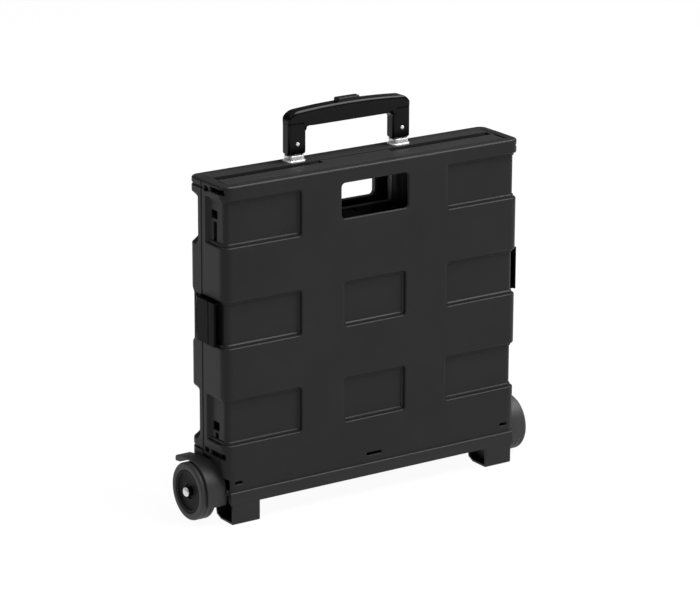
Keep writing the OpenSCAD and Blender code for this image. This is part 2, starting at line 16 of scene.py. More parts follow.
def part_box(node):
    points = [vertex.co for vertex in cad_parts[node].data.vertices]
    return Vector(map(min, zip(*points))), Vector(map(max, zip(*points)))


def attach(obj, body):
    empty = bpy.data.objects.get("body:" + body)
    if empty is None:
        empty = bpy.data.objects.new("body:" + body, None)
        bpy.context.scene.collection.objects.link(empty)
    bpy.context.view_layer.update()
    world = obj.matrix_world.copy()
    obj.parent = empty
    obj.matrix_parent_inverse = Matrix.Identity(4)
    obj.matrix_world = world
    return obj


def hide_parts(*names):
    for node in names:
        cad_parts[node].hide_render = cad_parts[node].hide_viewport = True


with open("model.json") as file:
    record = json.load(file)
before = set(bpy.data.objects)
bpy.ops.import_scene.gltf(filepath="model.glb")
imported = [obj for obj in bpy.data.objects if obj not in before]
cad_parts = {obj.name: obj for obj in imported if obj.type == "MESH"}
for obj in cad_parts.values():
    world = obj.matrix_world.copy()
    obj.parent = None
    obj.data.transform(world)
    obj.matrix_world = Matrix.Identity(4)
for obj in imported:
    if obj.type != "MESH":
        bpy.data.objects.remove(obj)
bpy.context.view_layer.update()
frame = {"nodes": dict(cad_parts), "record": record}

MM = 0.001
WELD = 1e-4


def cad(node, corner, axis):
    """One coordinate of a CAD node's box, in mm: corner 0 is the low one, 1 the high one."""
    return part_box(node)[corner][axis] / MM


# Driving sizes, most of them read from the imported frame
HALF = cad("rear_shell", 1, 1)
SIDE = 205.0
CORNER = 11.0
SEAM = 9.5
REAR_GAP = 9.8
WALL = 3.0
TOP = cad("front_shell", 1, 2)
PAN = 39.0
ROLL = 3.0
FRONT_RECESS = 4.5
REAR_RECESS = 7.0
WINDOW_ROWS = ((95, 149), (211, 265), (329, 383))
REAR_ROWS = ((89, 153), (205, 269), (322, 382))
WINDOW_X = 101.0
MID_WINDOW = 43.0
HAND = (46.0, 340.0, 382.0)      # half width, low and high edge of the hand opening
HINGE_X = 187.0
LUG_Z = (70, 214, 358)
LUG_H = 12
TUBE_X = 72.5
TUBE_Y = (cad("tube_collar_left", 0, 1) + cad("tube_collar_left", 1, 1)) / 2
AXLE_Y = (cad("axle", 0, 1) + cad("axle", 1, 1)) / 2
AXLE_Z = (cad("axle", 0, 2) + cad("axle", 1, 2)) / 2
WHEEL_X = cad("tyre_right", 1, 0)
TYRE_R = AXLE_Z
TYRE_W = cad("tyre_right", 1, 0) - cad("tyre_right", 0, 0)
ARCH_R = 35.5
LATCH_X = cad("latch_right", 1, 0)
LATCH_Y0 = cad("latch_right", 0, 1)
LATCH_Z = (cad("latch_right", 0, 2), cad("latch_right", 1, 2))
LATCH_PIN = (206.8, 12.5)
GRIP_TOP = cad("grip_upper", 1, 2)
GRIP_LOW = cad("grip_lower", 0, 2)
GRIP_HALF = cad("grip_lower", 1, 0)
LEG_Z0 = cad("grip_leg_left", 0, 2)
LEG_X = (cad("grip_leg_right", 0, 0) + cad("grip_leg_right", 1, 0)) / 2
LEG_W = cad("grip_leg_right", 1, 0) - cad("grip_leg_right", 0, 0)
LEG_INNER = LEG_X - LEG_W / 2
FILLET = 7.5
FILLET_END = 3.6
CAP_X0 = 225.2
CAP_X = cad("axle_cap_right", 1, 0)
FOOT_X = cad("foot_pads", 1, 0)

STRAIGHT = SIDE - CORNER
QUARTER = CORNER * math.pi / 2


# ---------------------------------------------------------------- materials

def node_of(tree, kind, **settings):
    """New shader node with its inputs or properties set by name."""
    node = tree.nodes.new(kind)
    for key, value in settings.items():
        if key in node.inputs:
            node.inputs[key].default_value = value
        else:
            setattr(node, key, value)
    return node


def moulded(name, colour, rough, grain, ior=1.4, bump=0.1, mottle=0.25, painted_edge_highlight=0.0, metal=0.0,
            stretch=(1, 1, 1)):
    """Plastic, rubber or metal with fine grain in the bump and a soft change of colour and gloss."""
    mat = bpy.data.materials.new(name)
    mat.use_nodes = True
    tree = mat.node_tree
    tree.nodes.clear()
    out = node_of(tree, "ShaderNodeOutputMaterial")
    shader = node_of(tree, "ShaderNodeBsdfPrincipled", Metallic=metal, IOR=ior)
    link = tree.links.new
    link(shader.outputs["BSDF"], out.inputs["Surface"])
    place = node_of(tree, "ShaderNodeTexCoord")
    mapping = node_of(tree, "ShaderNodeMapping", Scale=stretch)
    link(place.outputs["Object"], mapping.inputs["Vector"])
    broad = node_of(tree, "ShaderNodeTexNoise", Scale=14.0, Detail=4.0, Roughness=0.6)
    fine = node_of(tree, "ShaderNodeTexNoise", Scale=grain, Detail=3.0, Roughness=0.55)
    link(mapping.outputs["Vector"], broad.inputs["Vector"])
    link(mapping.outputs["Vector"], fine.inputs["Vector"])
    # colour: broad mottling over the base colour
    shade = node_of(tree, "ShaderNodeValToRGB")
    low, high = shade.color_ramp.elements
    low.position, high.position = 0.3, 0.72
    low.color = (*[c * (1 - mottle) for c in colour], 1)
    high.color = (*[c * (1 + mottle) for c in colour], 1)
    link(broad.outputs["Fac"], shade.inputs["Fac"])
    colour_out = shade.outputs["Color"]
    if painted_edge_highlight:
        # painted highlight: paler colour on edges where the surface turns sharply, standing in for the light
        # those edges catch
        geometry = node_of(tree, "ShaderNodeNewGeometry")
        edge = node_of(tree, "ShaderNodeValToRGB")
        edge.color_ramp.elements[0].position, edge.color_ramp.elements[1].position = 0.52, 0.62
        mix = node_of(tree, "ShaderNodeMix", data_type="RGBA")
        amount = node_of(tree, "ShaderNodeMath", operation="MULTIPLY")
        amount.inputs[1].default_value = painted_edge_highlight
        link(geometry.outputs["Pointiness"], edge.inputs["Fac"])
        link(edge.outputs["Color"], amount.inputs[0])
        link(amount.outputs[0], mix.inputs["Factor"])
        link(colour_out, mix.inputs["A"])
        mix.inputs["B"].default_value = (*[min(1, c * 2.6 + 0.015) for c in colour], 1)
        colour_out = mix.outputs["Result"]
    link(colour_out, shader.inputs["Base Color"])
    # gloss: varies with the same broad noise
    gloss = node_of(tree, "ShaderNodeMapRange")
    gloss.inputs["To Min"].default_value = max(0.02, rough - 0.06)
    gloss.inputs["To Max"].default_value = rough + 0.06
    link(broad.outputs["Fac"], gloss.inputs["Value"])
    link(gloss.outputs["Result"], shader.inputs["Roughness"])
    relief = node_of(tree, "ShaderNodeBump", Strength=bump, Distance=0.0004)
    link(fine.outputs["Fac"], relief.inputs["Height"])
    link(relief.outputs["Normal"], shader.inputs["Normal"])
    return mat


# the shell and arch looks paint a paler highlight onto their sharp edges
MATERIALS = {
    "shell_plastic": moulded("shell_plastic_look", (0.0135, 0.0135, 0.0139), 0.42, 900, ior=1.25,
                             painted_edge_highlight=0.35, bump=0.25, mottle=0.14),
    "dark_plastic": moulded("dark_plastic_look", (0.008, 0.008, 0.0084), 0.42, 700, ior=1.25, bump=0.2),
    "latch_plastic": moulded("latch_plastic_look", (0.002, 0.002, 0.0022), 0.4, 900, ior=1.12,
                             bump=0.15),
    "hub_plastic": moulded("hub_plastic_look", (0.006, 0.006, 0.0063), 0.5, 600, ior=1.17, bump=0.25),
    "handle_gloss": moulded("handle_gloss_look", (0.0016, 0.0016, 0.0018), 0.2, 500, ior=1.23,
                            bump=0.03, mottle=0.15),
    "tyre_rubber": moulded("tyre_rubber_look", (0.036, 0.036, 0.0375), 0.55, 450, ior=1.36,
                           bump=0.45, mottle=0.3),
    "bright_steel": moulded("bright_steel_look", (0.86, 0.86, 0.88), 0.22, 300, bump=0.03,
                            mottle=0.06, metal=0.35, stretch=(1, 1, 0.1)),
    "plain_steel": moulded("plain_steel_look", (0.52, 0.52, 0.54), 0.3, 400, bump=0.08,
                           mottle=0.12, metal=0.8, stretch=(1, 1, 0.15)),
    "arch_plastic": moulded("arch_plastic_look", (0.027, 0.027, 0.028), 0.46, 800, ior=1.32,
                            painted_edge_highlight=0.4, bump=0.25),
}


# ---------------------------------------------------------------- mesh tools

class Shape:
    """Collects closed solids, in mm, that end up as one piece."""

    def __init__(self):
        self.verts = []
        self.faces = []

    def add(self, verts, faces):
        start = len(self.verts)
        self.verts.extend(tuple(float(c) for c in v) for v in verts)
        self.faces.extend([start + i for i in face] for face in faces)
        return self

    def add_bmesh(self, bm, move=None):
        if move is not None:
            bm.transform(move)
        bm.verts.index_update()
        self.add([v.co[:] for v in bm.verts], [[v.index for v in f.verts] for f in bm.faces])
        bm.free()
        return self

    def block(self, low, high, r=0.6, segments=2):
        """Box between two corners with rounded edges."""
        bm = bmesh.new()
        bmesh.ops.create_cube(bm, size=1)
        low, high = np.minimum(low, high), np.maximum(low, high)
        for v in bm.verts:
            v.co = Vector((low + high) / 2 + np.array(v.co) * (high - low))
        r = min(r, 0.45 * float(min(high - low)))
        if r > 0:
            bmesh.ops.bevel(bm, geom=bm.edges[:], offset=r, segments=segments, profile=0.5, affect="EDGES")
        return self.add_bmesh(bm)

    def prism(self, points, axis, a, b, r=0.6, segments=2, angle=25):
        """Outline extruded along an axis from a to b, with rounded edges."""
        place = {"x": lambda p, t: (t, p[0], p[1]), "y": lambda p, t: (p[0], t, p[1]),
                 "z": lambda p, t: (p[0], p[1], t)}[axis]
        bm = bmesh.new()
        low = [bm.verts.new(place(p, a)) for p in points]
        high = [bm.verts.new(place(p, b)) for p in points]
        bm.faces.new(low)
        bm.faces.new(high[::-1])
        for i in range(len(points)):
            j = (i + 1) % len(points)
            bm.faces.new((low[j], low[i], high[i], high[j]))
        bmesh.ops.recalc_face_normals(bm, faces=bm.faces[:])
        if r > 0:
            sharp = [e for e in bm.edges if e.calc_face_angle(0) > math.radians(angle)]
            bmesh.ops.bevel(bm, geom=sharp, offset=r, segments=segments, profile=0.5, affect="EDGES",
                            clamp_overlap=True)
        return self.add_bmesh(bm)

    def lathe(self, profile, centre, direction, steps=96, closed=True):
        """Outline of (radius, distance) points turned about an axis; closed joins last to first."""
        turn = Vector((0, 0, 1)).rotation_difference(Vector(direction)).to_matrix()
        angles = np.linspace(0, 2 * math.pi, steps, endpoint=False)
        verts = []
        for radius, along in profile:
            for angle in angles:
                p = turn @ Vector((radius * math.cos(angle), radius * math.sin(angle), along))
                verts.append((p.x + centre[0], p.y + centre[1], p.z + centre[2]))
        rows = len(profile)
        faces = []
        for i in range(rows if closed else rows - 1):
            k = (i + 1) % rows
            for j in range(steps):
                m = (j + 1) % steps
                faces.append((i * steps + j, i * steps + m, k * steps + m, k * steps + j))
        return self.add(verts, faces)

    def loft(self, loops):
        """Solid through closed loops of equal length, capped at both ends."""
        n = len(loops[0])
        verts = [p for loop in loops for p in loop]
        faces = [[i * n + j, i * n + (j + 1) % n, (i + 1) * n + (j + 1) % n, (i + 1) * n + j]
                 for i in range(len(loops) - 1) for j in range(n)]
        faces.append(list(range(n))[::-1])
        faces.append([(len(loops) - 1) * n + j for j in range(n)])
        return self.add(verts, faces)

    def tube(self, loops):
        """Solid ring through closed loops; the last loop joins the first."""
        n = len(loops[0])
        m = len(loops)
        verts = [p for loop in loops for p in loop]
        faces = [[i * n + j, i * n + (j + 1) % n, (i + 1) % m * n + (j + 1) % n, (i + 1) % m * n + j]
                 for i in range(m) for j in range(n)]
        return self.add(verts, faces)

    def sheet(self, outer, inner, keep):
        """Solid between two grids of points. Cells where keep is false are holes through it."""
        rows, cols = outer.shape[:2]
        count = rows * cols
        verts = np.concatenate([outer.reshape(-1, 3), inner.reshape(-1, 3)])
        index = np.arange(count).reshape(rows, cols)
        faces = []
        for i, j in zip(*np.nonzero(keep)):
            a, b, c, d = index[i, j], index[i + 1, j], index[i + 1, j + 1], index[i, j + 1]
            faces.append((a, b, c, d))
            faces.append((a + count, d + count, c + count, b + count))
            for p, q, ni, nj in ((a, b, i, j - 1), (b, c, i + 1, j), (c, d, i, j + 1), (d, a, i - 1, j)):
                inside = 0 <= ni < rows - 1 and 0 <= nj < cols - 1 and keep[ni, nj]
                if not inside:
                    faces.append((q, p, p + count, q + count))
        used = sorted({v for face in faces for v in face})
        renumber = {v: k for k, v in enumerate(used)}
        return self.add(verts[used], [[renumber[v] for v in face] for face in faces])

    def reversed_in_y(self):
        """The same solids reflected from front to rear."""
        other = Shape()
        other.verts = [(x, -y, z) for x, y, z in self.verts]
        other.faces = [face[::-1] for face in self.faces]
        return other

    def piece(self, name, body, slot, replaces, look=None, sharp=32):
        """Finishes the collected solids as one Blender object that rides on a CAD body."""
        bm = bmesh.new()
        made = [bm.verts.new(Vector(v)) for v in self.verts]
        for face in self.faces:
            try:
                bm.faces.new([made[i] for i in face])
            except ValueError:
                pass
        bmesh.ops.remove_doubles(bm, verts=bm.verts[:], dist=WELD)
        bmesh.ops.dissolve_degenerate(bm, edges=bm.edges[:], dist=WELD)
        bmesh.ops.recalc_face_normals(bm, faces=bm.faces[:])
        bm.transform(Matrix.Scale(MM, 4))
        mesh = bpy.data.meshes.new(name)
        bm.to_mesh(mesh)
        bm.free()
        mesh.shade_smooth()
        mesh.set_sharp_from_angle(angle=math.radians(sharp))
        mesh.materials.append(MATERIALS[look or slot])
        obj = bpy.data.objects.new(name, mesh)
        bpy.context.scene.collection.objects.link(obj)
        normals = obj.modifiers.new("even_normals", "WEIGHTED_NORMAL")
        normals.keep_sharp = True
        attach(obj, body)
        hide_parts(*replaces)


def rounded_loop(width, depth, r, steps=6):
    """Outline of a rounded rectangle about the origin."""
    points = []
    for k, (sx, sy) in enumerate(((1, 1), (-1, 1), (-1, -1), (1, -1))):
        for i in range(steps + 1):
            angle = math.pi / 2 * (k + i / steps)
            points.append((sx * (width / 2 - r) + r * math.cos(angle),
                           sy * (depth / 2 - r) + r * math.sin(angle)))
    return points


def grid_lines(low, high, step, marks):
    """Positions from low to high, about one every step, with those given kept exactly."""
    close = sorted({round(m, 3) for m in marks if low <= m <= high} | {low, high})
    lines = [close[0]]
    for a, b in zip(close, close[1:]):
        parts = max(1, math.ceil((b - a) / step))
        lines.extend(a + (b - a) * (k + 1) / parts for k in range(parts))
    kept = [lines[0]]
    for value in lines[1:]:
        if value - kept[-1] > 0.04:
            kept.append(value)
    return np.array(kept)


# Edge profiles: (distance inside the outline, depth)
LIP = ((-1.0, 0), (-0.6, 0.08), (-0.25, 0.35), (-0.05, 0.8), (0.0, 1.0))
WIDE_LIP = ((-2.2, 0), (-1.6, 0.08), (-1.0, 0.32), (-0.5, 0.74), (-0.15, 1.3), (0.0, 1.9))


class Patch:
    """A rounded rectangle on the unrolled wall: a recess with its edge profile, or a hole.

    profile is the recess on the outer face, and inner is the matching one on the back. moat is the
    depth of the sunk panel where a deeper moat runs round it. ramp gives four distances along the
    wall over which the recess fades out.
    """

    def __init__(self, s0, s1, z0, z1, r, profile=LIP, inner=None, hole=False, moat=0.0, ramp=None):
        self.box = (s0, s1, z0, z1)
        self.moat = moat
        self.ramp = ramp
        self.r = r
        self.profile = profile
        self.inner = inner
        self.hole = hole

    def marks(self):
        s0, s1, z0, z1 = self.box
        edge = sorted({p[0] for p in self.profile})
        offsets = edge + [self.r, self.r * 0.62, self.r * 2]
        return ([s0 + e for e in offsets] + [s1 - e for e in offsets],
                [z0 + e for e in offsets] + [z1 - e for e in offsets])

    def round_corners(self, s, z):
        """Bends the grid round each corner, so that its lines follow the corner's arc."""
        s0, s1, z0, z1 = self.box
        for sx, edge_s in ((-1, s0), (1, s1)):
            for sz, edge_z in ((-1, z0), (1, z1)):
                cs, cz = edge_s - sx * self.r, edge_z - sz * self.r
                u, v = (s - cs) * sx, (z - cz) * sz
                big = np.maximum(u, v)
                inside = (u > 0) & (v > 0) & (big < 2 * self.r)
                length = np.hypot(u, v)
                shrink = np.where(inside, big / np.maximum(length, 1e-9), 1)
                fade = np.clip((big - self.r) / self.r, 0, 1)
                factor = shrink + (1 - shrink) * fade
                s = np.where(inside, cs + sx * u * factor, s)
                z = np.where(inside, cz + sz * v * factor, z)
        return s, z

    def inward(self, s, z):
        """Distance inside the outline, negative outside it."""
        s0, s1, z0, z1 = self.box
        qs = np.abs(s - (s0 + s1) / 2) - ((s1 - s0) / 2 - self.r)
        qz = np.abs(z - (z0 + z1) / 2) - ((z1 - z0) / 2 - self.r)
        outside = np.hypot(np.maximum(qs, 0), np.maximum(qz, 0))
        return self.r - outside - np.minimum(np.maximum(qs, qz), 0)

    def contains(self, s, z):
        s0, s1, z0, z1 = self.box
        return (s > s0) & (s < s1) & (z > z0) & (z < z1)


def window_profile(depth, moat):
    """Rounded lip, upright wall, a narrow moat round the sunk panel, then the panel."""
    return ((-1.9, 0), (-1.4, 0.07), (-0.9, 0.27), (-0.45, 0.62), (-0.1, 1.15), (0.1, 1.9),
            (0.3, depth + moat), (1.9, depth + moat), (2.15, depth + 0.25), (2.7, depth))


def soft_profile(depth, run):
    """Wall that slopes down over a run, rounded at both ends."""
    return ((-1.2, 0), (-0.3, 0.12), (0.6, 0.8), (run * 0.5, depth * 0.55), (run - 0.6, depth - 0.5),
            (run, depth - 0.12), (run + 0.8, depth))


def wall_point(s, inset):
    """Place on the front shell's plan for a distance s along its outer line, sunk by inset."""
    sign = np.sign(s)
    along = np.abs(s)
    extra = np.maximum(inset - CORNER, 0)
    radius = np.maximum(CORNER - inset, 0)
    angle = np.clip((along - STRAIGHT) / CORNER, 0, math.pi / 2)
    x = np.where(along < STRAIGHT, np.minimum(along, STRAIGHT - extra),
                 STRAIGHT - extra + radius * np.sin(angle))
    y = -(HALF - CORNER) + extra - radius * np.cos(angle)
    past = along - STRAIGHT - QUARTER
    y = np.where(past > 0, np.maximum(past - (HALF - CORNER), y), y)
    return sign * x, y


def side_s(y):
    """Distance along the outer line of a place y on the side wall."""
    return STRAIGHT + QUARTER + y + HALF - CORNER


def both_sides(s0, s1, *rest, **more):
    """The same patch on the right and on the left."""
    return [Patch(s0, s1, *rest, **more), Patch(-s1, -s0, *rest, **more)]


def shell_skin(shape, patches, end_y, top, arch=False, grooves=()):
    """Front wall, corners and side walls of a half shell with its rolled top edge, as one moulded sheet."""
    s_end = side_s(end_y)
    s_marks, z_marks = [], []
    for patch in patches:
        s_new, z_new = patch.marks()
        s_marks += s_new
        z_marks += z_new
    corner = [STRAIGHT + QUARTER * k / 8 for k in range(9)]
    s_marks += corner + [-c for c in corner] + [198.5, 199.1, -198.5, -199.1]
    z_top = top - ROLL
    z_marks += [PAN + 0.5, PAN + 1.2, 77.0]
    for low, high, _ in grooves:
        z_marks += [low - 0.9, low - 0.45, low, high, high + 0.45, high + 0.9]
    s_marks += [q * (s_end - e) for q in (-1, 1) for e in (1.1, 0.85, 0.6)]
    s_marks += [-203, -201.5, -200, 200, 201.5, 203]
    for patch in patches:
        s_marks += [q * m for m in (patch.ramp or ()) for q in (-1, 1)]
    s_line = grid_lines(-s_end, s_end, 9, s_marks)
    z_line = grid_lines(PAN, z_top, 9, z_marks)
    s, z = np.meshgrid(s_line, z_line, indexing="ij")
    keep = np.ones((len(s_line) - 1, len(z_line) - 1), bool)
    mid_s = (s_line[1:] + s_line[:-1]) / 2
    mid_z = (z_line[1:] + z_line[:-1]) / 2
    for patch in patches:
        if patch.hole:
            keep &= ~patch.contains(mid_s[:, None], mid_z[None, :])
        s, z = patch.round_corners(s, z)
    sunk, inner = np.zeros_like(s), np.full_like(s, WALL)
    for patch in patches:
        edge = patch.inward(s, z)
        depth = np.interp(edge, [p[0] for p in patch.profile], [p[1] for p in patch.profile])
        if patch.moat:
            # the moat ends on the side walls, short of the seam
            on_side = np.clip((np.abs(s) - side_s(-24)) / 6, 0, 1)
            depth = np.where(depth > patch.moat, depth + (patch.moat - depth) * on_side, depth)
            # there is no moat along the lower edge
            at_foot = np.clip((patch.box[2] + 3.2 - z) / 0.8, 0, 1)
            depth = np.where(depth > patch.moat, depth + (patch.moat - depth) * at_foot, depth)
        if patch.ramp:
            depth *= 1 - np.interp(np.abs(s), patch.ramp, (0, 0.1, 0.9, 1))
        if patch.hole:
            sunk += np.where(edge <= 0.001, depth, 0)
        else:
            sunk += depth
            thick = np.interp(edge, [p[0] + WALL for p in patch.inner], [p[1] for p in patch.inner])
            if patch.ramp:
                thick *= 1 - np.interp(np.abs(s) + 2, patch.ramp, (0, 0.1, 0.9, 1))
            inner += thick
    # the edge along the seam is set back, so that a dark line shows between the shells
    sunk += np.interp(np.abs(s), (s_end - 1.1, s_end - 0.85, s_end - 0.6), (0, 0.5, 1.5))
    on_corner = np.clip((np.abs(s) - 200) / 3, 0, 1)
    for low, high, depth in grooves:
        drop = np.interp(z, (low - 0.9, low, high, high + 0.9), (0, depth, depth, 0)) * on_corner
        sunk += drop
        inner += 0.6 * drop
    if arch:
        # the lower edge rises over the wheel arch on the side walls
        y = np.abs(s) - STRAIGHT - QUARTER - HALF + CORNER
        rise = np.interp(y, (-55, -44, -31, -22, -8, SEAM), (51, 52, 57.5, 65, 73, 75.5))
        low = np.where(np.abs(s) > 199, rise, PAN)
        z = np.where(z < 77, low + (z - PAN) * (77 - low) / (77 - PAN), z)
    sunk += np.interp(z, (PAN, PAN + 0.5, PAN + 1.2), (0.5, 0.15, 0)) if not arch else 0
    x_out, y_out = wall_point(s, sunk)
    inner = np.minimum(inner, CORNER - 0.6)
    x_in, y_in = wall_point(s, inner)
    outer_grid = np.stack([x_out, y_out, z], -1)
    inner_grid = np.stack([x_in, y_in, z], -1)
    # rolled edge, flat rim and the drop behind it
    roll = [(ROLL * (1 - math.cos(a)), z_top + ROLL * math.sin(a), ROLL, z_top)
            for a in np.radians((15, 30, 45, 60, 75, 90))]
    roll += [(d, top, d, z_top) for d in (6, 9, 11.3)]
    roll += [(11.7, top - 0.12, 11.4, z_top), (11.95, top - 0.5, 11.5, z_top), (12, top - 2.6, 11.6, z_top)]
    for d_out, z_out, d_in, z_in in roll:
        x, y = wall_point(s_line, np.full_like(s_line, d_out))
        outer_line = np.stack([x, y, np.full_like(x, z_out)], -1)
        outer_grid = np.concatenate([outer_grid, outer_line[:, None]], 1)
        x, y = wall_point(s_line, np.full_like(s_line, d_in))
        inner_line = np.stack([x, y, np.full_like(x, z_in)], -1)
        inner_grid = np.concatenate([inner_grid, inner_line[:, None]], 1)
    keep = np.concatenate([keep, np.ones((keep.shape[0], len(roll)), bool)], 1)
    shape.sheet(outer_grid, inner_grid, keep)


def opening_collar(shape, half, z0, z1, y0, y1, thick, r):
    """Collar round an opening through a wall, with rounded corners."""
    loops = []
    for grow, y in ((0, y0), (0, y1), (thick, y1), (thick, y0)):
        loop = rounded_loop(2 * half + 2 * grow, z1 - z0 + 2 * grow, r + grow, 5)
        loops.append([(x, y, (z0 + z1) / 2 + z) for x, z in loop])
    shape.tube(loops)


def hinge_lugs(shape, y0, y1, pin_y):
    """Lugs at the inner corners that hold the corner hinge rods."""
    for sign in (-1, 1):
        for z in LUG_Z:
            shape.block((sign * (HINGE_X - 5), y0, z), (sign * (HINGE_X + 5), y1, z + LUG_H), 0.5)
            shape.lathe(((0, 0), (4.6, 0), (5, 0.4), (5, LUG_H - 0.4), (4.6, LUG_H), (0, LUG_H)),
                        (sign * HINGE_X, pin_y, z), (0, 0, 1), 40, closed=False)


# ---------------------------------------------------------------- shells

def front_shell():
    """Front half of the crate with its windows, slots, bottom rail and ribs."""
    shape = Shape()
    front = window_profile(FRONT_RECESS, 2.0)
    plain = soft_profile(FRONT_RECESS, 3)
    patches = []
    # the top and bottom windows run out on the side walls, the middle one goes on behind the latch
    ramp = [side_s(y) for y in (-3.5, -2.5, 0.8, 1.8)]
    for row, (z0, z1) in enumerate(WINDOW_ROWS):
        patches += both_sides(WINDOW_X, side_s(SEAM + 25), z0, z1, r=4.4, profile=front, inner=plain,
                              moat=FRONT_RECESS, ramp=None if row == 1 else ramp)
    for z0, z1 in WINDOW_ROWS[:2]:
        patches.append(Patch(-MID_WINDOW, MID_WINDOW, z0, z1, r=4.4, profile=front, inner=plain,
                             moat=FRONT_RECESS))
    patches.append(Patch(-HAND[0], HAND[0], HAND[1], HAND[2], r=5, profile=WIDE_LIP, hole=True))
    # slots along the lower edge, at the corners and for the hinge pins on the side walls
    patches.append(Patch(-10.5, 10.5, 47.5, 51, r=1.2, hole=True))
    patches += both_sides(182, 192, 47.5, 51, r=1.2, hole=True)
    patches += both_sides(203.5, side_s(-9), 390.4, 396, r=0.9, hole=True)
    patches += both_sides(side_s(-3.4), side_s(3.9), 388.6, 394.6, r=0.9, hole=True)
    patches += both_sides(203.5, side_s(-7), 78.2, 84.2, r=0.9, hole=True)
    patches += both_sides(side_s(-2.6), side_s(6), 78.6, 84, r=0.9, hole=True)
    patches += both_sides(side_s(-17), side_s(-4), 359, 368, r=1.2, hole=True)
    patches += both_sides(side_s(-15.5), side_s(-9), 332.5, 355, r=1.2, hole=True)
    patches += both_sides(side_s(-18), side_s(-4.5), 108, 118, r=1.2, hole=True)
    patches += both_sides(side_s(-16), side_s(-10), 98.5, 105, r=1.2, hole=True)
    shell_skin(shape, patches, SEAM, TOP, arch=True, grooves=((390.6, 392.2, 1.3),))
    # flat strip behind the rim, with the middle tab
    for sign in (-1, 1):
        shape.block((sign * 47, -24, TOP - 4), (sign * (SIDE - 14), -1, TOP - 0.6), 0.6)
    shape.block((-47.2, -24, TOP - 4), (47.2, SEAM - 0.9, TOP - 0.6), 0.6)
    # ends of the groove between the shells
    for sign in (-1, 1):
        shape.block((sign * 190, -3, TOP - 4), (sign * (SIDE - 11.6), SEAM - 0.2, TOP - 0.6), 0.4)
    # bottom flange and proud rail with its ribs
    for sign in (-1, 1):
        shape.block((0, -HALF + 2, PAN), (sign * 146, SEAM - 1, PAN + 3), 0.4)
        shape.block((sign * 145, -HALF + 2, PAN), (sign * (SIDE - 3), -2.2, PAN + 3), 0.4)
    rail = ((-HALF - 2.5, 24), (-HALF - 2.5, 36.9), (-HALF - 2.35, 37.7), (-HALF - 1.9, 38.4),
            (-HALF - 1.2, 38.85), (-HALF - 0.3, PAN), (-HALF + 4, PAN), (-HALF + 4, 36.4),
            (-HALF - 0.1, 36.4), (-HALF - 0.1, 24))
    shape.prism(rail, "x", -199, 199, 0.25, 2, angle=60)
    shape.block((-198.5, -HALF + 3, PAN - 3), (198.5, -4, PAN + 0.6), 0.4)
    for x in (-150, -112, -75, -37, 0, 37, 75, 112, 150):
        shape.block((x - 1.5, -HALF + 3, 25), (x + 1.5, -4, PAN), 0.4)
    hinge_lugs(shape, -HALF + 6.2, -9.5, -9.5)
    shape.piece("front_half_shell", "front", "shell_plastic", ["front_shell"])


